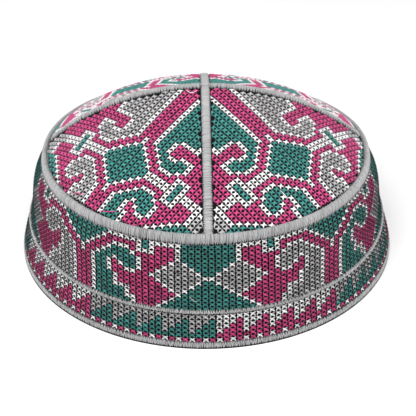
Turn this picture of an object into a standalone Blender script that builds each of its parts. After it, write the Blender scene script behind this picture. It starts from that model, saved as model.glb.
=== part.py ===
"""Embroidered kufi cap: a flared round side band under a low crown of four creased panels.

Run it with blender --background --python part.py, or from Blender's text editor.
Sizes are in metres. +Z is up, the wearer's front is -Y, and the cap stands on its open rim at Z = 0.
"""

import math

import bmesh
import bpy

MM = 0.001

# Main form
RIM_RADIUS = 96.0 * MM  # outside of the cap at the open rim
ROLL_RADIUS = 80.9 * MM  # middle of the rolled seam round the crown
ROLL_HEIGHT = 51.6 * MM  # height of that seam above the rim
BAND_SWELL = 0.022  # how far the band swells out halfway up, as a share of its radius
CROWN_RISE = 33.4 * MM  # top of the crown above the rolled seam
CREASE_BACK = 5.2 * MM  # the left-to-right crease lies this far behind the middle
CREASE_FULLNESS = 0.81  # 1 makes the crease a parabola seen from the front, less makes it fuller
FRONT_STRAIGHT = 0.77  # share of the fall to the front that is straight, the rest steepens
FRONT_CURVE = 3.0  # power of the part that steepens
BACK_STRAIGHT = 0.68  # the same two for the back
BACK_CURVE = 4.2

# How the soft cap has settled, each at the height of the rolled seam
BACK_PRESS = 4.6 * MM  # the back is pressed in by this much
BACK_SINK = 1.8 * MM  # and lies this much lower
SIDE_SINK = 1.2 * MM  # with this much more at the back right, and less at the back left
LEAN_LEFT = 0.2 * MM
SIDE_SHOULDER = 1.6 * MM  # the sides bow in at mid height and out under the roll

# Cloth and trim
GAP = 0.3 * MM  # clearance between neighbouring pieces
WALL = 1.8 * MM  # embroidered canvas
ROLL_WIDTH = 2.8 * MM
ROLL_TALL = 5.0 * MM
ROLL_OUT = 0.4 * MM  # middle of the roll, outside the line where crown and band meet
CROWN_EDGE = ROLL_RADIUS + ROLL_OUT - ROLL_WIDTH / 2 - GAP  # the crown panels end here, against the roll
STRIP_WIDTH = 4.5 * MM
STRIP_THICKNESS = 0.8 * MM
DIVIDER_SHARE = 0.360  # height of the divider on the band, as a share of ROLL_HEIGHT
DIVIDER_WIDTH = 1.5 * MM
DIVIDER_THICKNESS = 0.7 * MM
EDGE_HEIGHT = 0.4 * MM  # the canvas edge that shows below the binding
EDGE_PROUD = 0.2 * MM  # and how far it stands outside the embroidery
HEM_WIDTH = 2.7 * MM
HEM_THICKNESS = 1.2 * MM
HEM_PROUD = 0.5 * MM  # the binding stands this much outside the embroidery

# Fineness
ROUND_STEPS = 80  # sides of each turned piece
BAND_STEPS = 5  # straight stretches of the band's profile above the hem
ROLL_SIDES = 10
PANEL_STEPS = 12  # cells of a crown panel, across and outwards
STRIP_STEPS = 22  # cells of a seam strip along each half
STRIP_STEPS_ACROSS = 4
SHARP_ANGLE = math.radians(50)
WELD = 0.01 * MM

# Colours, linear
SATIN_GREY = (0.36, 0.35, 0.36)
EMBROIDERY_FUCHSIA = (0.55, 0.03, 0.17)
EMBROIDERY_GREEN = (0.01, 0.16, 0.12)


def clear_scene():
    for obj in list(bpy.data.objects):
        bpy.data.objects.remove(obj, do_unlink=True)


def material(name, colour, roughness):
    made = bpy.data.materials.new(name)
    made.use_nodes = True
    shader = made.node_tree.nodes["Principled BSDF"]
    shader.inputs["Base Color"].default_value = (*colour, 1)
    shader.inputs["Roughness"].default_value = roughness
    made.diffuse_color = (*colour, 1)
    return made


def band_radius(height):
    """Outside of the side band: a straight flare from roll to rim with a slight swell."""
    share = height / ROLL_HEIGHT
    flare = RIM_RADIUS + (ROLL_RADIUS - RIM_RADIUS) * share
    return flare * (1 + BAND_SWELL * 4 * share * (1 - share))


def crown_height(x, y):
    """Outside of the crown over the point (x, y): a fall to front and back from the crease."""
    crease_half = math.sqrt(ROLL_RADIUS**2 - CREASE_BACK**2)
    crease = CROWN_RISE * max(0.0, 1 - (x / crease_half) ** 2) ** CREASE_FULLNESS
    arc = math.sqrt(max(0.0, ROLL_RADIUS**2 - x**2))
    if y < CREASE_BACK:
        fall, straight, curve = (CREASE_BACK - y) / (arc + CREASE_BACK), FRONT_STRAIGHT, FRONT_CURVE
    else:
        fall, straight, curve = (y - CREASE_BACK) / max(arc - CREASE_BACK, GAP), BACK_STRAIGHT, BACK_CURVE
    fall = min(fall, 1.0)
    return ROLL_HEIGHT + crease * (1 - straight * fall - (1 - straight) * fall**curve)


def crown_lean(x, y):
    """Vertical thickness of one unit of wall there, which is 1 on level ground."""
    step = 0.5 * MM
    away = 1 if y > CREASE_BACK else -1
    here = crown_height(x, y)
    along_x = (crown_height(x + step, y) - here) / step
    along_y = (crown_height(x, y + away * step) - here) / step
    return math.sqrt(1 + along_x**2 + along_y**2)


def settled(x, y, z):
    """Where a point of the even cap lies once the soft cap has leaned, bowed and sunk a little."""
    share = min(max(z / ROLL_HEIGHT, 0.0), 1.0)
    back = min(max(y / ROLL_RADIUS, 0.0), 1.0)
    side = x / max(math.hypot(x, y), ROLL_RADIUS)
    bow = -SIDE_SHOULDER * math.sin(math.tau * share**1.5)
    drop = share * back * (BACK_SINK * back + SIDE_SINK * x / ROLL_RADIUS)
    pressed = y * (1 - share * BACK_PRESS / ROLL_RADIUS) if y > 0 else y
    return (x + bow * side * abs(side) - share * LEAN_LEFT, pressed, z - drop)


def finished(name, mesh, look, collection):
    """The object for a mesh of the even cap: settled, and shaded smooth between its sharp edges."""
    for vert in mesh.vertices:
        vert.co = settled(*vert.co)
    mesh.shade_smooth()
    mesh.set_sharp_from_angle(angle=SHARP_ANGLE)
    mesh.materials.clear()
    mesh.materials.append(look)
    obj = bpy.data.objects.new(name, mesh)
    collection.objects.link(obj)
    return obj


def turned(name, profile, look, collection):
    """A ring turned from a closed profile of (radius, height), listed down its outer side first."""
    outline = bmesh.new()
    points = [outline.verts.new((radius, 0, height)) for radius, height in profile]
    for start, end in zip(points, points[1:] + points[:1]):
        outline.edges.new((start, end))
    mesh = bpy.data.meshes.new(name)
    outline.to_mesh(mesh)
    outline.free()
    lathe = bpy.data.objects.new(name + "_profile", mesh)
    collection.objects.link(lathe)
    screw = lathe.modifiers.new("Turn", "SCREW")
    screw.steps = screw.render_steps = ROUND_STEPS
    screw.use_merge_vertices = True
    screw.merge_threshold = WELD
    ring = bpy.data.meshes.new_from_object(lathe.evaluated_get(bpy.context.evaluated_depsgraph_get()))
    bpy.data.objects.remove(lathe, do_unlink=True)
    ring.name = name
    return finished(name, ring, look, collection)


def side_band(look, collection):
    """The wall: full thickness above the hem, set back behind the binding, with its edge below."""
    top = ROLL_HEIGHT - ROLL_TALL / 2 - GAP
    hem_top = EDGE_HEIGHT + HEM_WIDTH + 2 * GAP
    heights = [top + (hem_top - top) * step / BAND_STEPS for step in range(BAND_STEPS + 1)]
    set_back = HEM_THICKNESS + GAP - HEM_PROUD
    outside = [(band_radius(height), height) for height in heights]
    outside += [(band_radius(height) - set_back, height) for height in (hem_top, EDGE_HEIGHT)]
    outside += [(band_radius(height) + EDGE_PROUD, height) for height in (EDGE_HEIGHT, 0.0)]
    inside = [(band_radius(height) - WALL, height) for height in [0.0] + heights[::-1]]
    return turned("side_band", outside + inside, look, collection)


def crown_roll(look, collection):
    """The wound seam, an upright oval in section."""
    turns = [math.pi * (0.5 - 2 * side / ROLL_SIDES) for side in range(ROLL_SIDES)]
    middle = ROLL_RADIUS + ROLL_OUT
    profile = [
        (middle + ROLL_WIDTH / 2 * math.cos(turn), ROLL_HEIGHT + ROLL_TALL / 2 * math.sin(turn)) for turn in turns
    ]
    return turned("crown_roll", profile, look, collection)


def raised_ring(name, low, width, inner, thickness, look, collection):
    """A satin ring laid round the band, its outer face rounded off at both edges."""
    rounded = (  # place up its width, share of its thickness
        (1.0, 0.55),
        (0.8, 1.0),
        (0.2, 1.0),
        (0.0, 0.55),
        (0.0, 0.0),
        (1.0, 0.0),
    )
    profile = []
    for place, share in rounded:
        height = low + width * place
        profile.append((inner(height) + thickness * share, height))
    return turned(name, profile, look, collection)


def panel_point(side, end, turn, reach):
    """Point of a crown panel: turn goes from the crease round to the seam, reach out to the roll."""
    apex_x = side * GAP / 2
    apex_y = CREASE_BACK + end * GAP / 2
    step_x = side * math.cos(turn)
    step_y = end * math.sin(turn)
    ahead = apex_x * step_x + apex_y * step_y
    far = -ahead + math.sqrt(ahead**2 + CROWN_EDGE**2 - apex_x**2 - apex_y**2)
    x = apex_x + step_x * far * reach
    y = apex_y + step_y * far * reach
    return (x, y, crown_height(x, y))


def slab(name, sheet, thickness, look, collection):
    """A wall on an open sheet laid over the crown: inwards where its thickness is negative."""
    grown = bmesh.ops.extrude_face_region(sheet, geom=sheet.faces[:])
    for vert in grown["geom"]:
        if isinstance(vert, bmesh.types.BMVert):
            vert.co.z += thickness * crown_lean(vert.co.x, vert.co.y)
    bmesh.ops.recalc_face_normals(sheet, faces=sheet.faces)
    mesh = bpy.data.meshes.new(name)
    sheet.to_mesh(mesh)
    sheet.free()
    return finished(name, mesh, look, collection)


def crown_panel(name, side, end, look, collection):
    """A quarter of the crown, side -1 or 1 for left or right and end -1 or 1 for front or back."""
    sheet = bmesh.new()
    bmesh.ops.create_grid(sheet, x_segments=PANEL_STEPS, y_segments=PANEL_STEPS, size=0.5)
    for vert in sheet.verts:
        vert.co = panel_point(side, end, (vert.co.x + 0.5) * math.pi / 2, vert.co.y + 0.5)
    bmesh.ops.remove_doubles(sheet, verts=sheet.verts, dist=WELD)
    return slab(name, sheet, -WALL, look, collection)


def seam_strip(name, steps, route, look, collection):
    """A satin strip on the crown; route(along, across) gives its place in plan, each 0 to 1."""
    sheet = bmesh.new()
    bmesh.ops.create_grid(sheet, x_segments=steps, y_segments=STRIP_STEPS_ACROSS, size=0.5)
    for vert in sheet.verts:
        x, y = route(vert.co.x + 0.5, vert.co.y + 0.5)
        vert.co = (x, y, crown_height(x, y) + GAP * crown_lean(x, y))
    return slab(name, sheet, STRIP_THICKNESS, look, collection)


def front_back_route(along, across):
    """From the roll at the front, over the top, to the roll at the back."""
    end = CROWN_EDGE
    if along <= 0.5:
        y = -end + (end + CREASE_BACK) * along * 2
    else:
        y = CREASE_BACK + (end - CREASE_BACK) * (along * 2 - 1)
    return STRIP_WIDTH * (across - 0.5), y


def crease_route(side):
    """From the strip over the top out to the roll on one side, along the crease."""
    start = STRIP_WIDTH / 2 + GAP
    end = math.sqrt(CROWN_EDGE**2 - (CREASE_BACK + STRIP_WIDTH / 2) ** 2)

    def route(along, across):
        return side * (start + (end - start) * along), CREASE_BACK + STRIP_WIDTH * (across - 0.5)

    return route


def build():
    clear_scene()
    cap = bpy.data.collections.new("kufi_cap")
    bpy.context.scene.collection.children.link(cap)
    crown_cloth = material("crown_embroidery", EMBROIDERY_FUCHSIA, 0.75)
    band_cloth = material("band_embroidery", EMBROIDERY_GREEN, 0.75)
    satin = material("satin_thread", SATIN_GREY, 0.45)

    for end, end_name in ((-1, "front"), (1, "back")):
        for side, side_name in ((-1, "left"), (1, "right")):
            crown_panel(f"crown_panel_{end_name}_{side_name}", side, end, crown_cloth, cap)
    seam_strip("seam_strip_front_back", 2 * STRIP_STEPS, front_back_route, satin, cap)
    seam_strip("seam_strip_left", STRIP_STEPS, crease_route(-1), satin, cap)
    seam_strip("seam_strip_right", STRIP_STEPS, crease_route(1), satin, cap)
    crown_roll(satin, cap)
    side_band(band_cloth, cap)

    def on_band(height):
        return band_radius(height) + GAP

    def behind_hem(height):
        return band_radius(height) + HEM_PROUD - HEM_THICKNESS

    divider_low = ROLL_HEIGHT * DIVIDER_SHARE - DIVIDER_WIDTH / 2
    raised_ring("divider_braid", divider_low, DIVIDER_WIDTH, on_band, DIVIDER_THICKNESS, satin, cap)
    raised_ring("hem_binding", EDGE_HEIGHT + GAP, HEM_WIDTH, behind_hem, HEM_THICKNESS, satin, cap)


build()
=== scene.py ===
"""Cross-stitched kufi cap: black canvas, thick cotton stitches, satin-wound roll, strips, divider and hem.

Lengths are in metres, z is up, the front faces -y and the cap stands on its rim at z = 0.
The cap is first thought of in an even form, a crown over a flaring band. settled() lays it as it stands.
A stitch is placed by its column and row on the cloth, and takes its colour from two small charts.
"""

import math

import bpy
import numpy as np
from bpy.props import FloatProperty, FloatVectorProperty, PointerProperty
from mathutils import Matrix, Vector


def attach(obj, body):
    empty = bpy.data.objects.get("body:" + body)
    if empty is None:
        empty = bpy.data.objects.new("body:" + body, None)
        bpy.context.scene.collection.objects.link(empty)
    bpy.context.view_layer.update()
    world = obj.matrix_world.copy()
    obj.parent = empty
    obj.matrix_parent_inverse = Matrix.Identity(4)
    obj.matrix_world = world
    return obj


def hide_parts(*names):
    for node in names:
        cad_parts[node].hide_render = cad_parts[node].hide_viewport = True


bl_info = {
    "name": "Cross-stitched kufi cap",
    "version": (1, 0, 0),
    "blender": (4, 5, 0),
    "location": "View3D > Sidebar > Kufi cap",
    "description": "Dresses the cap's solids with canvas, cross stitches and satin-wound edges",
    "category": "Object",
}

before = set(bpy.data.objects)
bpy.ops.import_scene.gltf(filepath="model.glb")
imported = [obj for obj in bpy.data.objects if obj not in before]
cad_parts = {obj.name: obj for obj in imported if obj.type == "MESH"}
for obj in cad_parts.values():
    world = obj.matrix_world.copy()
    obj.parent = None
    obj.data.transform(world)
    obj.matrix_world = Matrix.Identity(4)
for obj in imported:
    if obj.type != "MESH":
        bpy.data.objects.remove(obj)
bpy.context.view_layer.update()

MM = 0.001
SEED = 31

# Shape of the cap, the same values as in its solids
RIM_RADIUS = 96.0 * MM
ROLL_RADIUS = 80.9 * MM
ROLL_HEIGHT = 51.6 * MM
BAND_SWELL = 0.022
CROWN_RISE = 33.4 * MM
CREASE_BACK = 5.2 * MM
CREASE_FULLNESS = 0.81
FRONT_STRAIGHT = 0.77
FRONT_CURVE = 3.0
BACK_STRAIGHT = 0.68
BACK_CURVE = 4.2
BACK_PRESS = 4.6 * MM
BACK_SINK = 1.8 * MM
SIDE_SINK = 1.2 * MM
LEAN_LEFT = 0.2 * MM
SIDE_SHOULDER = 1.6 * MM
GAP = 0.3 * MM
WALL = 1.8 * MM
ROLL_WIDTH = 2.8 * MM
ROLL_TALL = 5.0 * MM
ROLL_OUT = 0.4 * MM
ROLL_MIDDLE = ROLL_RADIUS + ROLL_OUT
CROWN_EDGE = ROLL_MIDDLE - ROLL_WIDTH / 2 - GAP
STRIP_WIDTH = 4.5 * MM
STRIP_THICKNESS = 0.8 * MM
STRIP_DRESSED = 3.9 * MM
DIVIDER_SHARE = 0.360
DIVIDER_WIDTH = 1.5 * MM
DIVIDER_THICKNESS = 0.7 * MM
EDGE_HEIGHT = 0.4 * MM
EDGE_PROUD = 0.2 * MM
HEM_WIDTH = 2.7 * MM
HEM_THICKNESS = 1.2 * MM
HEM_PROUD = 0.5 * MM
HEM_TOP = EDGE_HEIGHT + HEM_WIDTH + 2 * GAP
HEM_SET_BACK = HEM_THICKNESS - HEM_PROUD + GAP
BAND_TOP = ROLL_HEIGHT - ROLL_TALL / 2 - GAP

# Lay of the stitches on the band
BAND_ROWS_TOP = 48.75 * MM
BAND_ROW = 1.973 * MM
BORDER_ROWS_TOP = 17.3 * MM
BORDER_ROW = 2.3 * MM
BAND_COLUMN = math.radians(2.035)
BAND_COLUMN_RADIUS = 87.0 * MM
BAND_COLUMN_EASE = 0.75
BAND_TURN = math.radians(-0.15)
ROW_LIFT = 0.5 * MM
ROW_LIFT_COLUMNS = 18

# The half repeat of the band, from the middle of a motif outwards, one letter a stitch, one line a row:
# G green, P fuchsia, W white, g grey, h the ground of the hook, green left of a motif and grey right of it
BAND_CHART = (
    "GGGGWWWWWGWWWWWWGGGGG",
    "GGGGWPPPWGWPPPPPWGGGG",
    "GGGGWPPPWWWPWWWPPWGGG",
    "GGGGWPPPPPPWhhhWPPWGG",
    "GGGWgWPPPPWhhhhhWPPWG",
    "GGWgggWPPPWhhhWhhWPPW",
    "GWgggggWPPWhhWPWhhWPW",
    "WgggggggWPPWWPPWhhWPP",
    "GWgggggWPPPPPPPWhhWPP",
    "GGWgggWPPPPPPPWhhhWPP",
    "GGGWgWPPPPPPPPWhhhWPP",
    "GGGGWPPPPPPPWWWhhhWPP",
    "GGGGGWPPPPPPWhhhhhWPP",
    "GGGGGGWPPPPWWhhhhhWPP",
    "GGGGGGGWPPPWhhhhhhWPP",
)
BAND_HALF = len(BAND_CHART[0])
BAND_REPEAT = 2 * BAND_HALF - 1
BORDER_ROWS = 6
TOOTH_COLUMNS = 4
SEGMENT_COLUMNS = 20

# The half quarter of the crown, from the bar in its middle outwards, one line a row from the apex down.
# SIDE_LETTERS gives the letters that stand for one colour on the seam's side and another on the ridge's.
CROWN_CHART = (
    *("PPWhhhhhhhhhhhhhhhh",) * 8,
    *("PPWhhhhhhkrrrrrrrrr",) * 4,
    "PPWhhhhhhkvvvvvvvvv",
    "PPWhhhhhhWPPPPPPPPP",
    "PPWhhhWWWWPPPPPPPPP",
    "PPWhhWPPPPPPPPPPPPP",
    "PPWhhWPPPPPPPPPPPPP",
    "WPWhhWPPWWWPPPPPPPP",
    "WPPWhhWWhhWPPPPPPPP",
    "GWPPWhhhhhWPPPPPPPP",
    "GGWPPWhhhWPPPPPPPPP",
    "GGGWPPWWWPWWWPPPPPP",
    "GGGGWPPPPPWGWPPPPPP",
    "GGGGGWWWWWWGWWWWwww",
    "GGGGGWWWWWWGWWWWwww",
    "GGGGWPPPPPWGWPPPvug",
    "GGGWPPWWWPWWWPPPvug",
    "GGWPPWhhhWPPPPPPvug",
    "GWPPWhhhhhWPPPPWGGG",
    "WPPWhhWhhhWPPPWGGGG",
    "WPWhhWPWhhWPPWGGGGG",
    "PPWhhWPPWWPPWGGGGGG",
    "PPWhhWWPPPPWGGGGGGG",
    "PPWhhhWPPPWGGGGGGGG",
    "PPWhhhWPPWGGGGGGGGG",
    "PPWhhhWPPWGGGGGGGGG",
)
SIDE_LETTERS = {"h": "Gg", "k": "GW", "r": "GP", "v": "WP", "u": "gW", "w": "Wg"}
CROWN_ROW = 2.545 * MM
CROWN_START = 1.965 * MM
BAR_COLUMN = 3.15 * MM
PATTERN_BACK = 8.1 * MM
BACK_PATTERN_DRAWN = 18.0 * MM
CROWN_ROWS = 44
CROWN_SPARE_COLUMNS = 9
BAR_HALF = 1.5

# The hooks by the ridge are drawn in above this row, over this many rows, and their rows run more level
HOOK_END = 26.0
HOOK_EASE = 10.0
HOOK_LEVEL = 6

# How far the stitches keep off the strips, the crown's edge and the join at the back of the band
OFF_SEAM = 0.30 * MM
OFF_RIDGE_FRONT = 0.40 * MM
OFF_RIDGE_BACK = 0.20 * MM
OFF_EDGE = 0.15 * MM
OFF_JOIN = 0.25 * MM

# Steps by which a surface's slope is taken
STEP = 0.1 * MM
WIDE_STEP = 1.2 * MM
TURN_STEP = 0.002

# How the stitches lie on each half of the crown, in degrees and millimetres: the bar's turn from the
# bisector towards the ridge, its distance from the apex, the width of a column on the seam's side and on
# the ridge's, and how much the hooks by the ridge are drawn in
QUARTER_LAY = {
    "left": {"turn": -4.1, "middle": -0.82, "seam": 3.03, "ridge": 3.05, "hook_draw": 0.015},
    "right": {"turn": -3.5, "middle": 0.05, "seam": 3.14, "ridge": 3.22, "hook_draw": 0.075},
}
SEAM_DRIFT = 0.10
RIDGE_DRIFT = -0.27

# One strand of a cross stitch, station by station: its place across and along the cell, the width and
# height of the lower strand, the width and height of the upper one, and how much painted shade darkens it
# where it dives into the canvas
STRAND = (
    (-0.38, -0.50, 0.36, 0.02, 0.36, 0.02, 0.85),
    (-0.32, -0.32, 0.60, 0.48, 0.60, 0.50, 0.10),
    (-0.19, -0.14, 0.90, 0.66, 0.86, 0.70, 0.0),
    (0.0, 0.0, 1.20, 0.66, 0.98, 0.82, 0.0),
    (0.19, 0.14, 0.90, 0.66, 0.86, 0.70, 0.0),
    (0.32, 0.32, 0.60, 0.48, 0.60, 0.50, 0.10),
    (0.38, 0.50, 0.36, 0.02, 0.36, 0.02, 0.85),
)
# across and height, as shares of half the width and of the thread's thickness
STRAND_SECTION = ((-1.0, 0.0), (-0.5, 0.85), (0.5, 0.85), (1.0, 0.0))
# the height that counts as full relief, and how deep a strand is pressed into what it lies on
RELIEF_UNIT = 0.92
STRAND_REST = 0.12 * MM
LETTERS = "GPWg"

# How unevenly threads lie, as spreads: a stitch's shift and swell, a strand's turn, width, height and tone
COTTON = {"shift": 0.022, "swell": 0.07, "turn": 0.018, "width": 0.05, "height": 0.07, "tone": 0.42}
SATIN = {"width": 0.12, "height": 0.10, "tone": 0.45, "place": 0.10, "end": 0.08}
TWIST_START = 3.7

# Thickness of a satin turn, and the angle by which its side direction is taken
SATIN_THICK = 0.3 * MM
BESIDE = 0.001

# Satin strips: turns to a pitch, where the ridge's end, how they close up to it and how serrated they are
SEAM_DENSITY = 1.10
RIDGE_DENSITY = 1.16
RIDGE_END = 77.6 * MM
RIDGE_EASE = 0.93
RIDGE_SERRATED = 0.48

# The plain core under a winding: how far it lies behind the turns and within their ends
CORE_BACK = 0.25 * MM
CORE_SHORT = 0.1 * MM

# Where a turn passes round the roll's section, in degrees, and how deep its line and the core lie
ROLL_WINDS = (-58, -22, 16, 56, 96, 134, 165)
ROLL_TURN_DEPTH = 0.25 * MM
ROLL_CORE_DEPTH = 0.35 * MM
ROLL_SIDES = 16

# Loose threads: name, colour, thickness and places, on the crown by x and y, on the band by angle and height
LOOSE_HEIGHT = 0.55 * MM
CROWN_LOOSE = (
    ("stray_run_front_left", "P", 0.5, ((-49.8, -59.8), (-46.0, -61.5), (-41.8, -62.8))),
    ("stray_run_far_left", "P", 0.45, ((-63.0, -44.5), (-60.4, -46.4), (-57.8, -48.0))),
    ("loose_loop_apex", "W", 0.35, ((-9.4, 1.9), (-7.0, -0.4), (-4.2, 0.9))),
    ("loose_end_front_right", "W", 0.3, ((33.5, -55.2), (35.5, -57.0), (36.8, -58.8))),
)
BAND_LOOSE = (
    ("loose_end_band", "g", 0.22, ((-5.8, 26.2), (-4.6, 24.3), (-3.4, 23.5))),
)


def measure(name, description, default):
    return FloatProperty(name=name, description=description, default=default, unit="LENGTH")


def tint(name, description, default):
    return FloatVectorProperty(
        name=name, description=description, default=default, subtype="COLOR", size=3, min=0, max=1
    )


class CapSizes(bpy.types.PropertyGroup):
    """Sizes of the threads"""

    stitch_relief: measure("Stitch relief", "Height of a stitch's crossing over the canvas", 0.9 * MM)
    thread_thickness: measure("Thread thickness", "Thickness of the cotton as it lies", 0.42 * MM)
    canvas_depth: measure("Canvas depth", "How far the canvas lies below the solid's face", 0.5 * MM)
    satin_pitch: measure("Satin pitch", "Distance between two turns of the satin winding", 0.52 * MM)
    ragged: measure("Ragged edge", "How unevenly the satin turns end", 0.45 * MM)


class CapColours(bpy.types.PropertyGroup):
    """Colours of the threads and the canvas"""

    green: tint("Green", "Teal green cotton", (0.035, 0.245, 0.222))
    fuchsia: tint("Fuchsia", "Fuchsia cotton", (0.575, 0.047, 0.205))
    white: tint("White", "White cotton", (0.86, 0.85, 0.85))
    grey: tint("Grey", "Grey cotton", (0.445, 0.438, 0.445))
    satin: tint("Satin", "Pale grey satin thread", (0.385, 0.385, 0.39))
    canvas: tint("Canvas", "Black ground cloth", (0.006, 0.006, 0.007))
    floor: tint("Floor", "Pale studio floor", (0.90, 0.90, 0.90))


# The cap's faces, as arrays of points


def band_radius(height):
    share = height / ROLL_HEIGHT
    flare = RIM_RADIUS + (ROLL_RADIUS - RIM_RADIUS) * share
    return flare * (1 + BAND_SWELL * 4 * share * (1 - share))


def crown_height(x, y):
    crease_half = math.sqrt(ROLL_RADIUS**2 - CREASE_BACK**2)
    crease = CROWN_RISE * np.maximum(0.0, 1 - (x / crease_half) ** 2) ** CREASE_FULLNESS
    arc = np.sqrt(np.maximum(0.0, ROLL_RADIUS**2 - x**2))
    front = y < CREASE_BACK
    front_fall = (CREASE_BACK - y) / (arc + CREASE_BACK)
    back_fall = (y - CREASE_BACK) / np.maximum(arc - CREASE_BACK, GAP)
    fall = np.clip(np.where(front, front_fall, back_fall), 0.0, 1.0)
    straight = np.where(front, FRONT_STRAIGHT, BACK_STRAIGHT)
    curve = np.where(front, FRONT_CURVE, BACK_CURVE)
    return ROLL_HEIGHT + crease * (1 - straight * fall - (1 - straight) * fall**curve)


def settled(x, y, z):
    """The even cap laid as it stands: back pressed in and sunk, sides bowed, crown leaning a little left"""
    share = np.clip(z / ROLL_HEIGHT, 0.0, 1.0)
    back = np.clip(y / ROLL_RADIUS, 0.0, 1.0)
    side = x / np.maximum(np.hypot(x, y), ROLL_RADIUS)
    bow = -SIDE_SHOULDER * np.sin(math.tau * share**1.5)
    drop = share * back * (BACK_SINK * back + SIDE_SINK * x / ROLL_RADIUS)
    pressed = np.where(y > 0, y * (1 - share * BACK_PRESS / ROLL_RADIUS), y)
    return np.stack((x + bow * side * np.abs(side) - share * LEAN_LEFT, pressed, z - drop), axis=-1)


def turned(angle, radius, height):
    """A point of the even cap by its angle from the front, positive to the right"""
    return settled(radius * np.sin(angle), -radius * np.cos(angle), height)


def normals_of(surface, first, second, step_first, step_second):
    """Outward unit normals of a surface given by two values, by small steps of both"""
    along = surface(first + step_first, second) - surface(first - step_first, second)
    across = surface(first, second + step_second) - surface(first, second - step_second)
    normal = np.cross(along, across)
    return normal / np.maximum(np.linalg.norm(normal, axis=-1, keepdims=True), 1e-12)


def band_surface(angle, height):
    return turned(angle, band_radius(height), height)


def crown_surface(x, y):
    return settled(x, y, crown_height(x, y))


def band_cell(column, row, top, row_height):
    """Angle and height of a place on the band given in columns and rows"""
    lift = ROW_LIFT * np.minimum(np.abs(column) / ROW_LIFT_COLUMNS, 1.0) ** 2
    height = top - row * row_height + lift
    ease = (BAND_COLUMN_RADIUS / band_radius(height)) ** BAND_COLUMN_EASE
    return BAND_TURN + column * BAND_COLUMN * ease, height


def walked(reach, bearing):
    """Plan distance from the pattern's middle after a walk of that length over the crown on that bearing"""
    steps = 50
    ahead = 0.2 * MM
    distance = np.zeros_like(reach)
    for _ in range(steps):
        here, there = (
            crown_height(at * np.cos(bearing), PATTERN_BACK + at * np.sin(bearing))
            for at in (distance, distance + ahead)
        )
        distance = distance + reach / steps / np.hypot(1.0, (there - here) / ahead)
    return distance


def crown_cell(column, row, side, back):
    """Plan place of a column and row of a quarter: columns below 0 lie towards its seam"""
    lay = QUARTER_LAY[side]
    beyond_bar = np.maximum(np.abs(column) - BAR_HALF, 0.0)
    near = lay["hook_draw"] * np.clip((HOOK_END - row) / HOOK_EASE, 0.0, 1.0) * (column > 0)
    wide = np.where(column < 0, lay["seam"], lay["ridge"]) * (1 - near) * MM
    across = np.sign(column) * (np.minimum(np.abs(column), BAR_HALF) * BAR_COLUMN + beyond_bar * wide)
    across = across + lay["middle"] * MM
    drift = np.where(column < 0, SEAM_DRIFT, RIDGE_DRIFT) * (1 - HOOK_LEVEL * near) * MM
    down = row * CROWN_ROW + CROWN_START + drift * np.abs(column)
    reach = np.hypot(across, down)
    tilt = math.radians(lay["turn"]) + np.arctan2(across, down)
    bearing = math.pi / 4 - tilt
    distance = walked(reach, -bearing)
    x = distance * np.cos(bearing)
    y = PATTERN_BACK - distance * np.sin(bearing)
    if back:
        # the back quarters repeat the front ones, drawn towards the ridge and in to their shorter fall
        arc = np.sqrt(np.maximum(ROLL_RADIUS**2 - x**2, 0.0))
        drawn = BACK_PATTERN_DRAWN * np.clip(1 - (x / ROLL_RADIUS) ** 2, 0.0, 1.0)
        short = np.maximum(arc - CREASE_BACK, GAP) / (arc + CREASE_BACK)
        y = CREASE_BACK + (CREASE_BACK - y - drawn) * short
    return (-x if side == "left" else x), y


def held_within(x, y, bounds):
    """Holds places within a quarter of the crown, and tells which of them lay outside"""
    mirror, deep, edge = bounds
    seam = STRIP_WIDTH / 2 + OFF_SEAM
    ridge = STRIP_WIDTH / 2 + (OFF_RIDGE_FRONT if deep < 0 else OFF_RIDGE_BACK)
    out = (x * mirror < seam) | ((y - CREASE_BACK) * deep < ridge) | (np.hypot(x, y) > edge)
    x = mirror * np.maximum(x * mirror, seam)
    y = CREASE_BACK + deep * np.maximum((y - CREASE_BACK) * deep, ridge)
    short = np.minimum(1.0, edge / np.hypot(x, y))
    return x * short, y * short, out


# Meshes


def flat(values, kind=np.float32):
    return np.ascontiguousarray(values, dtype=kind).ravel()


def mesh_object(name, points, quads, material_of, materials, tone, painted_end_shade, thread):
    """An object from arrays: quads with their materials, points with their tone, painted end shade and
    thread place
    """
    mesh = bpy.data.meshes.new(name)
    mesh.vertices.add(len(points))
    mesh.vertices.foreach_set("co", flat(points))
    mesh.loops.add(4 * len(quads))
    mesh.loops.foreach_set("vertex_index", flat(quads, np.int32))
    mesh.polygons.add(len(quads))
    mesh.polygons.foreach_set("loop_start", np.arange(0, 4 * len(quads), 4, dtype=np.int32))
    mesh.update(calc_edges=True)
    mesh.polygons.foreach_set("use_smooth", np.ones(len(quads), dtype=bool))
    for material in materials:
        mesh.materials.append(material)
    if material_of is not None:
        mesh.polygons.foreach_set("material_index", flat(material_of, np.int32))
    for kind, values in (("tone", tone), ("painted_end_shade", painted_end_shade)):
        layer = mesh.attributes.new(kind, "FLOAT", "POINT")
        layer.data.foreach_set("value", flat(values))
    layer = mesh.uv_layers.new(name="thread")
    layer.data.foreach_set("uv", flat(thread[quads.ravel()]))
    mesh.update()
    made = bpy.data.objects.new(name, mesh)
    bpy.context.collection.objects.link(made)
    return made


def strip_quads(count, stations, across):
    """Quads of count equal grids of stations by across points, one grid after another"""
    one = [
        (s * across + a, (s + 1) * across + a, (s + 1) * across + a + 1, s * across + a + 1)
        for s in range(stations - 1)
        for a in range(across - 1)
    ]
    first = (np.arange(count) * stations * across)[:, None, None]
    return (np.array(one)[None, :, :] + first).reshape(-1, 4)


def select(*objects):
    """Selects these alone, the first one active"""
    bpy.ops.object.select_all(action="DESELECT")
    for one in objects:
        one.select_set(True)
    bpy.context.view_layer.objects.active = objects[0]


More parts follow.
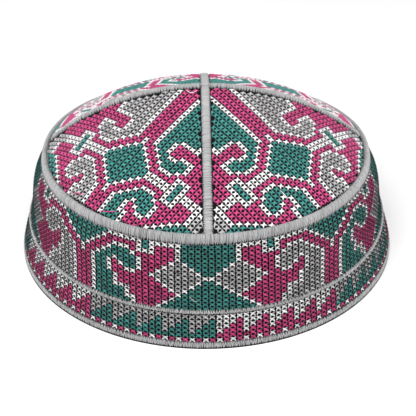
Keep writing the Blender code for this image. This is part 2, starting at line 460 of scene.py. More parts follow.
def edited(*steps):
    """Runs edit mode operators, each with its settings, on the whole active mesh"""
    bpy.ops.object.mode_set(mode="EDIT")
    bpy.ops.mesh.select_all(action="SELECT")
    for operator, settings in steps:
        operator(**settings)
    bpy.ops.object.mode_set(mode="OBJECT")


def start(name, adder, **settings):
    """A new primitive, made active with nothing else selected"""
    bpy.ops.object.select_all(action="DESELECT")
    adder(**settings)
    made = bpy.context.active_object
    made.name = name
    made.data.name = name
    return made


def place_points(made, place):
    """Moves every point of a mesh by a function of an array of points"""
    points = np.empty(3 * len(made.data.vertices), dtype=np.float64)
    made.data.vertices.foreach_get("co", points)
    moved = place(points.reshape(-1, 3))
    made.data.vertices.foreach_set("co", moved.astype(np.float32).ravel())
    made.data.update()


def merge(distance=0.01 * MM):
    """Merges doubles of the active mesh, and turns all its faces outwards"""
    edited(
        (bpy.ops.mesh.remove_doubles, {"threshold": distance}),
        (bpy.ops.mesh.normals_make_consistent, {"inside": False}),
    )


def applied(made, kind, **settings):
    modifier = made.modifiers.new(kind.title(), kind)
    for key, value in settings.items():
        setattr(modifier, key, value)
    bpy.ops.object.modifier_apply(modifier=modifier.name)


def smooth(made, degrees=40):
    select(made)
    bpy.ops.object.shade_smooth_by_angle(angle=math.radians(degrees))


def finish_piece(made, replaced=(), materials=()):
    for material in materials:
        made.data.materials.append(material)
    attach(made, "root")
    if replaced:
        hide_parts(*replaced)


def spun(name, profile):
    """A ring from a closed profile of (radius, height), spun round the cap in edit mode, then settled"""
    made = start(name, bpy.ops.mesh.primitive_circle_add, vertices=len(profile), radius=0.01)
    place_points(made, lambda points: np.array([(0.0, -radius, height) for radius, height in profile]))
    edited((bpy.ops.mesh.spin, {"steps": 240, "angle": math.tau, "center": (0, 0, 0), "axis": (0, 0, 1)}))
    merge()
    place_points(made, lambda points: settled(points[:, 0], points[:, 1], points[:, 2]))
    return made


def turn_out(made):
    """Flips the mesh when most of its faces look towards the inside of the cap"""
    inside = Vector((0, 0, 0.3 * ROLL_HEIGHT))
    faces = list(made.data.polygons)
    tried = faces[:: max(1, len(faces) // 400)]
    if 2 * sum(face.normal.dot(face.center - inside) > 0 for face in tried) < len(tried):
        made.data.flip_normals()


def thread_places(section, stations, count, random):
    """Each point's place across and along its thread, whose twist starts anywhere"""
    along = (np.arange(stations) / (stations - 1))[None, :, None]
    along = along + TWIST_START * random.random((count, 1, 1))
    return np.stack(np.broadcast_arrays(section[None, None, :, 0], along), axis=-1).reshape(-1, 2)


def stitch_field(name, columns, rows, letters, cell, pitch, random):
    """Cross stitches at the given columns and rows, each two strands of cotton over the canvas"""
    sizes = bpy.context.scene.cap_sizes
    count = len(columns)
    strand = np.array(STRAND)
    section = np.array(STRAND_SECTION)
    pitch_across, pitch_down = pitch
    stations, across = len(strand), len(section)
    points, tones, threads, outside = [], [], [], []
    # painted shade at each station, heaviest at the ends where a strand dives into the canvas
    painted_end_shade = np.tile(np.repeat(strand[:, 6], across), 2 * count)
    shift = random.normal(0, COTTON["shift"], (count, 2))
    swell = random.normal(1, COTTON["swell"], (count, 1, 1))
    for upper in (False, True):
        middle = strand[:, :2] * (-1.0 if upper else 1.0, 1.0)
        run = np.gradient(middle * (pitch_across, pitch_down), axis=0)
        run /= np.linalg.norm(run, axis=1, keepdims=True)
        side = np.stack((run[:, 1], -run[:, 0]), axis=1)
        half = strand[:, 4 if upper else 2, None] * MM / 2 * section[:, 0]
        half = half * math.sqrt(pitch_down / BAND_ROW)
        u = middle[:, 0, None] + half * side[:, 0, None] / pitch_across
        v = middle[:, 1, None] + half * side[:, 1, None] / pitch_down
        lift = strand[:, 5 if upper else 3] * sizes.stitch_relief / RELIEF_UNIT
        height = (lift[:, None] - STRAND_REST) + section[:, 1] * sizes.thread_thickness
        jitter = random.normal(0, COTTON["turn"], (count, 1, 1))
        spread = swell * random.normal(1, COTTON["width"], (count, 1, 1))
        u_all = columns[:, None, None] + shift[:, 0, None, None] + (u - middle[:, 0, None])[None] * spread
        u_all = u_all + middle[None, :, 0, None] + jitter * v[None]
        v_all = rows[:, None, None] + shift[:, 1, None, None] + (v - middle[:, 1, None])[None] * spread
        v_all = v_all + middle[None, :, 1, None] - jitter * u[None]
        h_all = height[None] * (1 + random.normal(0, COTTON["height"], (count, 1, 1)))
        spot, normal, out = cell(u_all.reshape(-1), v_all.reshape(-1))
        outside.append(out)
        points.append(spot + normal * (h_all.reshape(-1, 1) - sizes.canvas_depth))
        tone = np.clip(random.normal(0, COTTON["tone"], count), -1, 1)
        tones.append(np.repeat(tone, stations * across))
        threads.append(thread_places(section, stations, count, random))
    quads = strip_quads(2 * count, stations, across)
    material_of = np.array([LETTERS.index(letter) for letter in letters])
    material_of = np.tile(np.repeat(material_of, (stations - 1) * (across - 1)), 2)
    used = [thread_material(letter) for letter in LETTERS]
    points, tones, threads = np.concatenate(points), np.concatenate(tones), np.concatenate(threads)
    showing = ~np.concatenate(outside)[quads].all(axis=1)
    quads, material_of = quads[showing], material_of[showing]
    made = mesh_object(name, points, quads, material_of, used, tones, painted_end_shade, threads)
    turn_out(made)
    return made


def satin_field(name, count, path, random, width, thickness, painted_shade=0.0):
    """Turns of satin thread side by side, each along its line of the path and narrower at both its ends"""
    lines, sideways, outward = path
    stations = lines.shape[1]
    section = np.array(STRAND_SECTION)
    across = len(section)
    breadth = width * (1 + random.normal(0, SATIN["width"], (count, 1, 1, 1)))
    body = thickness * (1 + random.normal(0, SATIN["height"], (count, 1, 1, 1)))
    from_middle = np.abs(np.linspace(-1, 1, stations))
    half = (section[:, 0] * (1 - 0.60 * from_middle**4)[:, None])[None, :, :, None]
    points = lines[:, :, None, :]
    points = points + sideways[:, :, None, :] * half * breadth / 2
    points = points + outward[:, :, None, :] * section[None, None, :, 1, None] * body
    # the tone is lowered for painted shade on windings that face sideways, away from the top light
    tone = np.repeat(np.clip(random.normal(-painted_shade, SATIN["tone"], count), -1, 1), stations * across)
    place = thread_places(section, stations, count, random)
    # painted shade at both ends of each turn, where it dives under its neighbours
    painted_end_shade = np.tile(np.repeat(0.7 * from_middle**8, across), count)
    quads = strip_quads(count, stations, across)
    return mesh_object(name, points.reshape(-1, 3), quads, None, [thread_material("S")], tone, painted_end_shade, place)


def winding(points, around):
    """Lines, side and outward vectors of turns, from their points along and just beside them"""
    side = around - points
    side /= np.linalg.norm(side, axis=-1, keepdims=True)
    run = np.gradient(points, axis=1)
    run /= np.maximum(np.linalg.norm(run, axis=-1, keepdims=True), 1e-12)
    out = np.cross(side, run)
    out /= np.maximum(np.linalg.norm(out, axis=-1, keepdims=True), 1e-12)
    middle = out.shape[1] // 2
    facing = np.sign((out[:, middle] * points[:, middle]).sum(axis=-1))
    return points, side, out * facing[:, None, None]


def joined(first, *others):
    """Joins objects into the first"""
    select(first, *others)
    bpy.ops.object.join()
    return first


def upright_winding(node, low, high, proud, depth, random, ragged, fill, painted_shade, inset=0.0):
    """A ring of upright satin turns on the band between two heights, over a plain core"""
    pitch = bpy.context.scene.cap_sizes.satin_pitch
    count = round(math.tau * band_radius(low) / pitch)
    angle = (np.arange(count) + random.normal(0, 0.15, count)) * math.tau / count
    top = high - 0.3 * inset + np.abs(random.normal(0, 1, count)) * ragged
    base = low + inset - np.abs(random.normal(0, 1, count)) * ragged * 0.5
    stations = np.linspace(-1, 1, 7)
    slant = random.normal(0.0, 0.0035, count)

    def turns(shift):
        lines = []
        for station in stations:
            height = (top + base) / 2 + (top - base) / 2 * station
            rise = (proud - SATIN_THICK) * (1 - abs(station) ** 5) - 0.1 * MM * abs(station) ** 5
            lines.append(turned(angle + shift + slant * station, band_radius(height) + rise, height))
        return np.stack(lines, axis=1)

    path = winding(turns(0.0), turns(BESIDE))
    wound = satin_field(f"{node}_turns", count, path, random, pitch * fill, SATIN_THICK, painted_shade)
    turn_out(wound)
    corners = ((low, depth), (low, CORE_BACK), (high, CORE_BACK), (high, depth))
    core = spun(f"{node}_winding", [
        (band_radius(edge) + proud - back, edge + (CORE_SHORT if edge == low else -CORE_SHORT))
        for edge, back in corners
    ])
    # the dark core is partly the cloth under the turns and partly painted shade between them
    core.data.materials.append(thread_material("D"))
    finish_piece(joined(core, wound), (node,))


# Materials


class Socket:
    """Wraps a node's output socket, so that an expression on it adds the Math nodes it needs"""

    def __init__(self, tree, output):
        self.tree = tree
        self.output = output

    def _math(self, operation, *values):
        node = self.tree.nodes.new("ShaderNodeMath")
        node.operation = operation
        for number, value in enumerate(values):
            if isinstance(value, Socket):
                self.tree.links.new(value.output, node.inputs[number])
            else:
                node.inputs[number].default_value = value
        return Socket(self.tree, node.outputs[0])

    def __add__(self, other):
        return self._math("ADD", self, other)

    def __radd__(self, other):
        return self._math("ADD", other, self)

    def __sub__(self, other):
        return self._math("SUBTRACT", self, other)

    def __mul__(self, other):
        return self._math("MULTIPLY", self, other)

    def sine(self):
        return self._math("SINE", self)

    def absolute(self):
        return self._math("ABSOLUTE", self)

    def clamped(self):
        return self._math("MAXIMUM", self._math("MINIMUM", self, 1.0), 0.0)


class Finish:
    """A material and its nodes"""

    def __init__(self, name):
        self.material = bpy.data.materials.new(name)
        self.material.use_nodes = True
        self.tree = self.material.node_tree
        self.shader = self.tree.nodes["Principled BSDF"]

    def node(self, kind, settings=None, inputs=None, output=0):
        made = self.tree.nodes.new(kind)
        for key, value in (settings or {}).items():
            setattr(made, key, value)
        for key, value in (inputs or {}).items():
            self.feed(made.inputs[key], value)
        return Socket(self.tree, made.outputs[output])

    def feed(self, socket, value):
        if isinstance(value, Socket):
            self.tree.links.new(value.output, socket)
        else:
            socket.default_value = value

    def mix(self, share, first, second):
        """Mixes two colours, each a socket or three numbers"""
        colours = [value if isinstance(value, Socket) else (*value, 1.0) for value in (first, second)]
        inputs = {0: share, 6: colours[0], 7: colours[1]}
        return self.node("ShaderNodeMix", {"data_type": "RGBA"}, inputs, output=2)

    def place(self):
        return self.node("ShaderNodeTexCoord", output="Object")

    def noise(self, scale, detail):
        inputs = {"Scale": scale, "Detail": detail, "Vector": self.place()}
        return self.node("ShaderNodeTexNoise", inputs=inputs)

    def attribute(self, name):
        return self.node("ShaderNodeAttribute", {"attribute_name": name}, output="Fac")

    def split(self, vector):
        node = self.tree.nodes.new("ShaderNodeSeparateXYZ")
        self.feed(node.inputs[0], vector)
        return [Socket(self.tree, output) for output in node.outputs]

    def set(self, **values):
        for key, value in values.items():
            self.feed(self.shader.inputs[key.replace("_", " ").title().replace("Ior", "IOR")], value)

    def bump(self, height, strength, distance):
        inputs = {"Height": height, "Strength": strength, "Distance": distance}
        self.feed(self.shader.inputs["Normal"], self.node("ShaderNodeBump", inputs=inputs))


def shade(colour, amount):
    return tuple(min(1.0, part * amount) for part in colour)


def thread_material(letter):
    """Cotton or satin thread: plies twisted along it with a painted highlight on each ply, each stitch a
    little lighter or darker, painted shade on its sides and ends
    """
    colours = bpy.context.scene.cap_colours
    name, colour, plies, contrast, gloss = {
        "G": ("green_cotton", colours.green, 3, 0.42, 0.72),
        "P": ("fuchsia_cotton", colours.fuchsia, 3, 0.34, 0.72),
        "W": ("white_cotton", colours.white, 3, 0.12, 0.78),
        "g": ("grey_cotton", colours.grey, 3, 0.34, 0.78),
        "S": ("satin_winding", colours.satin, 2, 0.32, 0.50),
        # D: a dark copy of the satin for the cores, partly the dark cloth under the turns and partly painted
        # shade between them
        "D": ("satin_ground", shade(colours.satin, 0.10), 2, 0.30, 0.70),
    }[letter]
    if name in bpy.data.materials:
        return bpy.data.materials[name]
    finish = Finish(name)
    across, along, _ = finish.split(finish.node("ShaderNodeUVMap", {"uv_map": "thread"}))
    # the ply stripes drive the bump and also paint a highlight along each ply into the colour
    twist = (across * (plies * math.pi / 2) + along * 21.0).sine() * 0.5 + 0.5
    fibre = finish.noise(2600.0, 3.0)
    patch = finish.noise(70.0, 2.0)
    light = (finish.attribute("tone") * 0.5 + 0.5) * 0.55 + (patch - 0.5) * 0.5
    light = (light + twist * 0.34 + fibre * 0.25 - 0.07).clamped()
    base = finish.mix(light, shade(colour, 1 - contrast), shade(colour, 1 + contrast))
    # the thread's sides and its sunken ends lie in the shade of their neighbours
    edge = (across.absolute() * across.absolute() * 1.5 - 0.35 + finish.attribute("painted_end_shade")).clamped()
    base = finish.mix(edge, base, shade(colour, 0.12))
    finish.set(base_color=base, roughness=gloss + (fibre - 0.5) * 0.25)
    finish.set(sheen_weight=0.25, sheen_roughness=0.45, specular_ior_level=0.35)
    finish.bump(twist + fibre * 0.6, 0.55, 0.12 * MM)
    return finish.material


def cloth_material(name, colour, threads_per_metre, strength):
    """Plain woven cloth: two crossing sets of threads in object space, with dusty and worn patches"""
    if name in bpy.data.materials:
        return bpy.data.materials[name]
    finish = Finish(name)
    x, y, z = finish.split(finish.place())
    turn = math.tau * threads_per_metre
    weave = (x * turn).sine() * (y * turn).sine() + (z * turn).sine() * ((x + y) * turn).sine()
    dust = finish.noise(160.0, 4.0)
    base = finish.mix((dust * 0.6 + weave * 0.15).clamped(), shade(colour, 0.7), shade(colour, 1.9))
    finish.set(base_color=base, roughness=0.9 + (dust - 0.5) * 0.15, specular_ior_level=0.15)
    finish.bump(weave + dust, strength, 0.15 * MM)
    return finish.material


def cloth_materials():
    """The canvas outside and the lining inside"""
    black = bpy.context.scene.cap_colours.canvas
    canvas = cloth_material("black_canvas", black, 1100.0, 0.5)
    return canvas, cloth_material("black_lining", shade(black, 1.6), 1700.0, 0.35)


def floor_material():
    finish = Finish("pale_floor")
    colour = bpy.context.scene.cap_colours.floor
    mottle = finish.noise(6.0, 3.0)
    finish.set(base_color=finish.mix(mottle, shade(colour, 0.985), shade(colour, 1.015)))
    finish.set(roughness=0.88 + (mottle - 0.5) * 0.05)
    return finish.material


# Charts


def band_letter(column, row):
    """Colour of the band's stitch in a column counted from the middle of the front motif"""
    step = column % BAND_REPEAT
    right = step < BAND_HALF
    letter = BAND_CHART[row][step if right else BAND_REPEAT - 1 - step]
    if letter == "h":
        return "g" if right else "G"
    return letter


def border_letter(column, row):
    """Stepped teeth four columns wide in segments of twenty, over a row of dashes"""
    if row == BORDER_ROWS - 1:
        return "P" if column % 2 == 0 else "W"
    segment = (column - 1) // SEGMENT_COLUMNS
    tooth = (column - 1) % TOOTH_COLUMNS
    inside = row >= BORDER_ROWS - 2 - tooth
    if segment % 2 == 0:
        return "P" if inside else "W"
    return "G" if inside else "g"


def crown_letter(column, row):
    """Colour of the crown's stitch, columns negative towards the seam"""
    line = CROWN_CHART[min(row, len(CROWN_CHART) - 1)]
    letter = line[min(abs(column), len(line) - 1)]
    return SIDE_LETTERS[letter][0 if column < 0 else 1] if letter in SIDE_LETTERS else letter


# Operators


class CAP_OT_crown(bpy.types.Operator):
    """Four stitched quarters of the crown"""

    bl_idname = "cap.crown"
    bl_label = "Crown quarters"

    def execute(self, context):
        for back in (False, True):
            for side in ("left", "right"):
                self.quarter(context, side, back)
        return {"FINISHED"}

    def cloth(self, sizes, node, mirror, deep):
        """Canvas of one quarter, a grid fanned out between seam and ridge"""
        steps = {"x_subdivisions": 48, "y_subdivisions": 48}
        shell = start(f"{node}_cloth", bpy.ops.mesh.primitive_grid_add, size=2, **steps)

        def lay(points):
            lean = (points[:, 0] + 1) / 2 * math.pi / 2
            share = (points[:, 1] + 1) / 2
            aside, away = np.cos(lean), np.sin(lean * deep)
            along = away * CREASE_BACK
            reach = np.sqrt(along**2 + CROWN_EDGE**2 - CREASE_BACK**2) - along
            x = mirror * np.maximum(share * reach * aside, GAP / 2)
            y = CREASE_BACK + np.maximum(share * reach * np.abs(away), GAP / 2) * deep
            return crown_surface(x, y) - normals_of(crown_surface, x, y, STEP, STEP) * sizes.canvas_depth

        place_points(shell, lay)
        merge()
        turn_out(shell)
        applied(shell, "SOLIDIFY", thickness=WALL - sizes.canvas_depth, offset=-1, use_even_offset=False)
        inside = [face.index for face in shell.data.polygons if face.normal.z < 0]
        finish_piece(shell, (node,), cloth_materials())
        for index in inside:
            shell.data.polygons[index].material_index = 1
        smooth(shell)

    def quarter(self, context, side, back):
        node = f"crown_panel_{'back' if back else 'front'}_{side}"
        mirror = -1 if side == "left" else 1
        deep = 1 if back else -1
        self.cloth(context.scene.cap_sizes, node, mirror, deep)

        random = np.random.default_rng(SEED + 2 * back + (side == "right"))
        reach = len(CROWN_CHART[0]) + CROWN_SPARE_COLUMNS
        columns, rows = np.meshgrid(np.arange(-reach, reach + 1), np.arange(CROWN_ROWS))
        columns, rows = columns.ravel(), rows.ravel()
        bounds = (mirror, deep, CROWN_EDGE - OFF_EDGE)

        def cell(u, v):
            x, y, out = held_within(*crown_cell(u, v, side, back), bounds)
            return crown_surface(x, y), normals_of(crown_surface, x, y, STEP, STEP), out

        kept = ~held_within(*crown_cell(columns, rows + 0.5, side, back), bounds)[2]
        columns, rows = columns[kept], rows[kept]
        letters = [crown_letter(column, row) for column, row in zip(columns, rows)]
        pitch = (QUARTER_LAY[side]["seam"] * MM, CROWN_ROW)
        made = stitch_field(f"{node}_stitches", columns, rows + 0.5, letters, cell, pitch, random)
        finish_piece(made)


class CAP_OT_band(bpy.types.Operator):
    """Side band: canvas, the motif rows above the divider and the toothed border below it"""

    bl_idname = "cap.band"
    bl_label = "Side band"

    def execute(self, context):
        steps = 12
        heights = [BAND_TOP + (HEM_TOP - BAND_TOP) * step / steps for step in range(steps + 1)]
        faces = (
            (-context.scene.cap_sizes.canvas_depth, heights),
            (-HEM_SET_BACK, (HEM_TOP, EDGE_HEIGHT)),
            (EDGE_PROUD, (EDGE_HEIGHT, 0.0)),
            (-WALL, [0.0] + heights[::-1]),
        )
        profile = [(band_radius(height) + proud, height) for proud, run in faces for height in run]
        cloth = spun("side_band_cloth", profile)
        finish_piece(cloth, ("side_band",), cloth_materials())
        for face in cloth.data.polygons:
            centre = face.center
            if face.normal.x * centre.x + face.normal.y * centre.y < -0.5 * math.hypot(centre.x, centre.y):
                face.material_index = 1
        smooth(cloth)
        random = np.random.default_rng(SEED + 7)
        for name, side in (("motif_stitches_left", -1), ("motif_stitches_right", 1)):
            self.rows(name, side, len(BAND_CHART), BAND_ROWS_TOP, BAND_ROW, band_letter, random)
        self.rows("border_stitches", 0, BORDER_ROWS, BORDER_ROWS_TOP, BORDER_ROW, border_letter, random)
        return {"FINISHED"}

    def rows(self, name, side, count, top, row_height, letter_of, random):
        """One field of rows, on the left half, the right half or all round, up to the join at the back"""
        half = int(math.pi / BAND_COLUMN) + 8
        columns, rows = np.meshgrid(np.arange(-half, half), np.arange(count))
        columns, rows = columns.ravel(), rows.ravel()
        angle, _ = band_cell(columns + 0.5, rows + 0.5, top, row_height)
        edge = math.pi - OFF_JOIN / RIM_RADIUS
        kept = np.abs(angle) < edge
        if side:
            kept &= (columns >= 0) == (side > 0)
        columns, rows = columns[kept], rows[kept]

        def cell(u, v):
            angle, height = band_cell(u, v, top, row_height)
            out = np.abs(angle) > edge
            angle = np.clip(angle, -edge, edge)
            normal = -normals_of(band_surface, angle, height, TURN_STEP, STEP)
            return band_surface(angle, height), normal, out

        letters = [letter_of(column, row) for column, row in zip(columns, rows)]
        pitch = (BAND_COLUMN * BAND_COLUMN_RADIUS, row_height)
        made = stitch_field(name, columns + 0.5, rows + 0.5, letters, cell, pitch, random)
        finish_piece(made)


class CAP_OT_roll(bpy.types.Operator):
    """Roll between crown and band, wound with satin thread round its section"""

    bl_idname = "cap.roll"
    bl_label = "Crown roll"

    def execute(self, context):
        sizes = context.scene.cap_sizes
        random = np.random.default_rng(SEED + 11)
        core = spun("crown_roll_winding", [
            self.round_roll(math.tau * side / ROLL_SIDES, ROLL_CORE_DEPTH) for side in range(ROLL_SIDES)
        ])
        # the dark core is partly the cloth under the turns and partly painted shade between them
        core.data.materials.append(thread_material("D"))
        count = round(math.tau * ROLL_RADIUS / sizes.satin_pitch)
        angle = (np.arange(count) + random.normal(0, 0.16, count)) * math.tau / count
        slant = random.normal(0.010, 0.004, count)
        # the turns end unevenly on band and crown, every third one a little higher on the band
        low = BAND_TOP + 0.25 * MM - np.abs(random.normal(0, 1, count)) * sizes.ragged
        low += sizes.ragged * (np.arange(count) % 3 == 0)
        inner = CROWN_EDGE + 0.05 * MM - np.abs(random.normal(0, 1, count)) * sizes.ragged
        winds = np.radians(ROLL_WINDS)

        def turns(shift):
            spots = [(band_radius(low) + 0.15 * MM, low)]
            spots += [self.round_roll(wind, ROLL_TURN_DEPTH) for wind in winds]
            lines = []
            stations = len(spots) + 1
            for number, (reach, height) in enumerate(spots):
                turn = angle + shift + slant * (number / (stations - 1) - 0.5)
                lines.append(turned(turn, reach + np.zeros(count), height + np.zeros(count)))
            turn = angle + shift + slant * 0.5
            x, y = inner * np.sin(turn), -inner * np.cos(turn)
            lines.append(settled(x, y, crown_height(x, y) + 0.10 * MM))
            return np.stack(lines, axis=1)

        path = winding(turns(0.0), turns(BESIDE))
        # the last value, 0.7, is painted shade that darkens the roll's turns
        wound = satin_field("crown_roll_turns", count, path, random, sizes.satin_pitch * 1.2, 0.35 * MM, 0.7)
        turn_out(wound)
        finish_piece(joined(core, wound), ("crown_roll",))
        return {"FINISHED"}

    def round_roll(self, turn, depth):
        """Radius and height of a place on the roll's section, at a depth under its face"""
        across, up = ROLL_WIDTH / 2 - depth, ROLL_TALL / 2 - depth
        return ROLL_MIDDLE + across * math.cos(turn), ROLL_HEIGHT + up * math.sin(turn)


class CAP_OT_strips(bpy.types.Operator):
    """Satin strips over the crown's seams: front to back, and along the ridge on both sides"""

    bl_idname = "cap.strips"
    bl_label = "Seam strips"

    def execute(self, context):
        random = np.random.default_rng(SEED + 13)

        def over_seam(along, across, rise):
            return self.lifted(across, along, rise)

        def over_ridge(along, across, rise):
            return self.lifted(along, CREASE_BACK + across, rise)

        end = CROWN_EDGE - 0.2 * MM
        self.strip("seam_strip_front_back", -end, end, SEAM_DENSITY, 1.0, 0.0, over_seam, random)
        begin = STRIP_WIDTH / 2 + 0.2 * MM
        ridge = (RIDGE_DENSITY, RIDGE_EASE, RIDGE_SERRATED, over_ridge, random)
        for side, mirror in (("left", -1), ("right", 1)):
            self.strip(f"seam_strip_{side}", mirror * begin, mirror * RIDGE_END, *ridge)
        return {"FINISHED"}

    def strip(self, node, first, last, density, ease, serrated, surface, random):
        """Turns across a cloth core; serrated makes every third one shorter at its front edge"""
        pitch = bpy.context.scene.cap_sizes.satin_pitch
        count = round(abs(last - first) * density / pitch)
        along = first + (last - first) * np.linspace(0, 1, count) ** ease
        along = along + random.normal(0, SATIN["place"], count) * pitch
        stations = np.linspace(-1, 1, 7)
        ends = 1 + np.abs(random.normal(0, SATIN["end"], (count, 2)))
        ends[:, 0] += serrated * (0.35 - 1.2 * (np.arange(count) % 3 == 0))
        reach = np.where(stations[None] < 0, ends[:, :1], ends[:, 1:]) * stations[None] * STRIP_DRESSED / 2
        start_at = along[:, None] + random.normal(0.15 * MM, 0.10 * MM, (count, 1)) * stations[None]
        rise = (GAP + STRIP_THICKNESS - SATIN_THICK) * (1 - np.abs(stations) ** 5) - 0.05 * MM
        rise = rise[None] + np.zeros_like(reach)
        path = winding(surface(start_at, reach, rise), surface(start_at + STEP, reach, rise))
        wound = satin_field(f"{node}_satin", count, path, random, pitch * 1.25, SATIN_THICK)
        turn_out(wound)
        core = self.core(f"{node}_core", first, last, surface)
        finish_piece(joined(wound, core), (node,))

    def lifted(self, x, y, rise):
        inside = np.minimum(1.0, (CROWN_EDGE + 0.6 * MM) / np.maximum(np.hypot(x, y), 1e-9))
        x, y = x * inside, y * inside
        spot = crown_surface(x, y)
        return spot + normals_of(crown_surface, x, y, WIDE_STEP, WIDE_STEP) * rise[..., None]

    def core(self, name, first, last, surface):
        """Cloth under the turns, dark grey partly for the cloth itself and partly as painted shade between
        the turns
        """
        made = start(name, bpy.ops.mesh.primitive_grid_add, x_subdivisions=90, y_subdivisions=8, size=2)

        def lay(points):
            along = first + (last - first) * (points[:, 0] + 1) / 2
            across = points[:, 1] * (STRIP_DRESSED / 2 - 0.4 * MM)
            rise = (STRIP_THICKNESS - CORE_BACK) * (1 - np.abs(points[:, 1]) ** 6)
            return surface(along, across, rise)

        place_points(made, lay)
        turn_out(made)
        applied(made, "SOLIDIFY", thickness=CORE_BACK, offset=-1)
        made.data.materials.append(thread_material("D"))
        return made


class CAP_OT_divider(bpy.types.Operator):
    """Thin satin line between the motif rows and the border"""

    bl_idname = "cap.divider"
    bl_label = "Divider"

    def execute(self, context):
        low = ROLL_HEIGHT * DIVIDER_SHARE - DIVIDER_WIDTH / 2
        # the 0.5 lowers the turns' tone as painted shade on this sideways-facing winding
        upright_winding(
            "divider_braid", low, low + DIVIDER_WIDTH, GAP + DIVIDER_THICKNESS, DIVIDER_THICKNESS,
            np.random.default_rng(SEED + 17), ragged=0.30 * MM, fill=0.95, painted_shade=0.5, inset=0.16 * MM,
        )
        return {"FINISHED"}


class CAP_OT_hem(bpy.types.Operator):
    """Hem binding of upright satin turns over the canvas edge"""

    bl_idname = "cap.hem"
    bl_label = "Hem binding"

    def execute(self, context):
        low = EDGE_HEIGHT + GAP
        # the 0.6 lowers the turns' tone as painted shade on this sideways-facing winding
        upright_winding(
            "hem_binding", low, low + HEM_WIDTH, HEM_PROUD, HEM_THICKNESS,
            np.random.default_rng(SEED + 19), ragged=0.2 * MM, fill=0.98, painted_shade=0.6,
        )
        return {"FINISHED"}


class CAP_OT_loose(bpy.types.Operator):
    """Loose ends and stray runs of cotton lying on the stitches"""

    bl_idname = "cap.loose"
    bl_label = "Loose threads"

    def execute(self, context):
        for name, letter, thick, spots in CROWN_LOOSE:
            x, y = np.array(spots).T * MM
            self.thread(name, letter, thick * MM, crown_surface(x, y), "crown_embroidery")
        for name, letter, thick, spots in BAND_LOOSE:
            angle, height = np.array(spots).T
            spot = band_surface(np.radians(angle), height * MM)
            self.thread(name, letter, thick * MM, spot, "band_embroidery")
        return {"FINISHED"}

    def thread(self, name, letter, thick, spots, slot):
        """A short round thread through the given places, a little above the stitches"""
        made = start(name, bpy.ops.mesh.primitive_cylinder_add, vertices=6, radius=1, depth=2)
        edited((bpy.ops.mesh.subdivide, {"number_cuts": 15}))
        outward = spots / np.linalg.norm(spots, axis=1, keepdims=True)
        line = spots + outward * LOOSE_HEIGHT
        # an even bend through the places, by a parabola in each of the three directions
        share = np.linspace(0, 1, len(line))
        bends = [np.polyfit(share, line[:, axis], 2) for axis in range(3)]
        run = (line[-1] - line[0]) / np.linalg.norm(line[-1] - line[0])
        side = np.cross(run, outward[0])
        side /= np.linalg.norm(side)
        lift = np.cross(side, run)

        def lay(points):
            at = (points[:, 2] + 1) / 2
            middle = np.stack([np.polyval(bend, at) for bend in bends], axis=1)
            size = thick / 2 * (1 - 0.5 * np.abs(points[:, 2]) ** 6)
            return middle + size[:, None] * (points[:, :1] * side + points[:, 1:2] * lift)

        place_points(made, lay)
        merge(0.002 * MM)
        smooth(made, 60)
        finish_piece(made, materials=(thread_material(letter),))


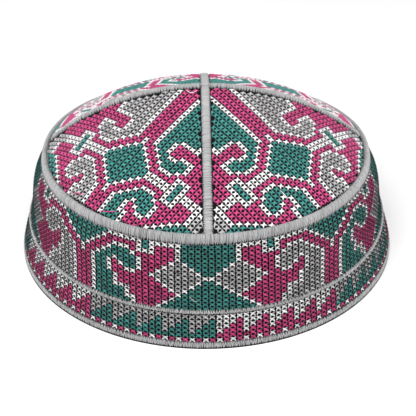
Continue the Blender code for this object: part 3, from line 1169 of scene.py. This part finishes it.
class CAP_OT_stage(bpy.types.Operator):
    """Pale floor, soft light and the camera at the photograph's angle"""

    bl_idname = "cap.stage"
    bl_label = "Stage"

    def execute(self, context):
        floor = start("studio_floor", bpy.ops.mesh.primitive_plane_add, size=6)
        floor.data.materials.append(floor_material())
        self.lights(context)
        self.camera(context)
        return {"FINISHED"}

    def lights(self, context):
        world = bpy.data.worlds.new("studio")
        context.scene.world = world
        world.use_nodes = True
        sky = world.node_tree.nodes["Background"].inputs
        sky["Color"].default_value = (1, 1, 1, 1)
        sky["Strength"].default_value = 0.34
        table = (
            # name, place, size, power
            ("top_softbox", (-0.15, -0.50, 1.10), 1.1, 15.0),
            ("front_softbox", (0.45, -0.95, 0.60), 0.6, 1.3),
            ("left_softbox", (-1.10, -0.35, 0.40), 0.8, 7.5),
            ("right_softbox", (1.10, -0.35, 0.40), 0.8, 7.5),
        )
        for name, place, size, power in table:
            data = bpy.data.lights.new(name, "AREA")
            data.size = size
            data.energy = power
            light = bpy.data.objects.new(name, data)
            context.collection.objects.link(light)
            aim = Vector((0, 0, 0.03)) - Vector(place)
            facing = aim.to_track_quat("-Z", "Y").to_matrix().to_4x4()
            light.matrix_world = Matrix.Translation(place) @ facing

    def camera(self, context):
        """The view fitted to the photograph: its unit is 0.96 mm, the picture 416 pixels square"""
        unit = 0.96 * MM
        distance = 646.6 * unit
        down = math.radians(32.842)
        roll = math.radians(-0.334)
        turn = math.radians(0.78)
        focal = 1184.6
        aside, height = 0.811 * unit, 15.839 * unit + 0.4 * MM
        place = Vector((aside, -distance * math.cos(down), height + distance * math.sin(down)))
        aimed = Matrix.Rotation(math.pi / 2 - down, 4, "X") @ Matrix.Rotation(roll, 4, "Z")
        data = bpy.data.cameras.new("photograph_view")
        data.sensor_width = 36
        data.lens = focal / 416 * data.sensor_width
        data.clip_start = 0.01
        camera = bpy.data.objects.new("photograph_view", data)
        camera.matrix_world = Matrix.Rotation(-turn, 4, "Z") @ Matrix.Translation(place) @ aimed
        context.collection.objects.link(camera)
        context.scene.camera = camera


OPERATORS = (
    CAP_OT_crown, CAP_OT_band, CAP_OT_roll, CAP_OT_strips,
    CAP_OT_divider, CAP_OT_hem, CAP_OT_loose, CAP_OT_stage,
)


class CAP_PT_panel(bpy.types.Panel):
    """Lists the cap's sizes, colours and pieces"""

    bl_idname = "CAP_PT_panel"
    bl_label = "Kufi cap"
    bl_space_type = "VIEW_3D"
    bl_region_type = "UI"
    bl_category = "Kufi cap"

    def draw(self, context):
        for group in (context.scene.cap_sizes, context.scene.cap_colours):
            for name in group.bl_rna.properties.keys():
                if name not in ("rna_type", "name"):
                    self.layout.prop(group, name)
        for operator in OPERATORS:
            self.layout.operator(operator.bl_idname)


CLASSES = (CapSizes, CapColours, *OPERATORS, CAP_PT_panel)


def register():
    for one in CLASSES:
        bpy.utils.register_class(one)
    bpy.types.Scene.cap_sizes = PointerProperty(type=CapSizes)
    bpy.types.Scene.cap_colours = PointerProperty(type=CapColours)


def unregister():
    del bpy.types.Scene.cap_sizes
    del bpy.types.Scene.cap_colours
    for one in reversed(CLASSES):
        bpy.utils.unregister_class(one)


def main():
    register()
    bpy.context.scene.view_settings.view_transform = "Standard"
    bpy.ops.cap.crown()
    bpy.ops.cap.band()
    bpy.ops.cap.roll()
    bpy.ops.cap.strips()
    bpy.ops.cap.divider()
    bpy.ops.cap.hem()
    bpy.ops.cap.loose()
    bpy.ops.cap.stage()


if __name__ == "__main__":
    main()
